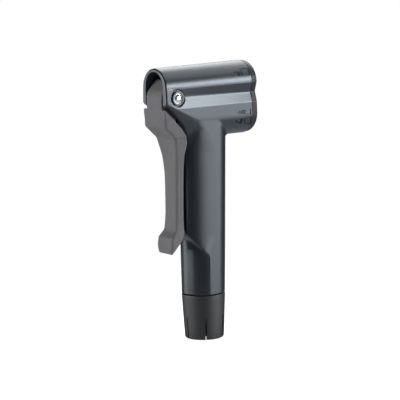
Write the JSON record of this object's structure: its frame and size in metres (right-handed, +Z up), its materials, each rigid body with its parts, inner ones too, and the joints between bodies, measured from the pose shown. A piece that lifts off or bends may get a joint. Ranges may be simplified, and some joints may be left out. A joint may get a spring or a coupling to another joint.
{
  "type": "pump head",
  "caption": "Hand-held pump head with a grip, a locking cam lever, stacked Schrader and Presta nozzles and a turning slotted hose sleeve.",
  "frame": {"origin": "centre of the hose opening at the lower face of the slotted sleeve", "axes": "+Z up along the grip, +X towards the nozzle openings, the lever lies on the -X side, +Y completes the right hand"},
  "size_m": [0.0509, 0.02, 0.1253],
  "materials": {
    "housing_plastic": "satin moulded, dark slate grey",
    "cap_plastic": "matt moulded, near black",
    "lever_plastic": "fine spark texture, dark grey",
    "bearing_plastic": "natural acetal",
    "inner_plastic": "glass-filled nylon, black",
    "steel": "plain, lightly brushed",
    "brass": "turned",
    "seal_rubber": "moulded black",
    "sleeve_rubber": "matt, dark grey",
    "crimp_aluminium": "crimped, satin"
  },
  "bodies": {
    "head": {"housing": "housing_plastic", "nozzle_cap": "cap_plastic", "lever_pin": "steel", "schrader_seal": "seal_rubber", "presta_seal": "seal_rubber", "manifold": "inner_plastic", "schrader_spigot": "brass", "presta_spigot": "brass", "core_depressor": "brass", "shuttle_seats": "seal_rubber", "manifold_plug": "brass", "feed_tube": "brass", "swivel_socket": "inner_plastic", "gland_ring": "inner_plastic"},
    "lever": {"lever": "lever_plastic", "lever_bushes": "bearing_plastic"},
    "pusher": {"pusher": "inner_plastic", "wear_plate": "steel", "seal_plate": "steel", "seal_washers": "brass"},
    "shuttle": {"shuttle": "bearing_plastic"},
    "hose_end": {"hose_sleeve": "sleeve_rubber", "swivel_stem": "brass", "stem_rings": "seal_rubber", "stem_clip": "steel", "ferrule": "crimp_aluminium"}
  },
  "joints": [
    {"name": "lever_hinge", "type": "hinge", "parent": "head", "child": "lever", "pos_m": [-0.0173, 0, 0.1115], "axis": [0, 1, 0], "range_deg": [0, 70]},
    {"name": "pusher_slide", "type": "slide", "parent": "head", "child": "pusher", "axis": [1, 0, 0], "range_m": [0, 0.00221], "deforming": ["schrader_seal", "presta_seal"]},
    {"name": "shuttle_slide", "type": "slide", "parent": "head", "child": "shuttle", "axis": [0, 0, 1], "range_m": [0, 0.002]},
    {"name": "hose_swivel", "type": "hinge", "parent": "head", "child": "hose_end", "pos_m": [0, 0, 0.02], "axis": [0, 0, 1], "continuous": true}
  ],
  "couplings": [
    {"joint": "pusher_slide", "follows": "lever_hinge", "m_per_rad": 0.0018028}
  ]
}
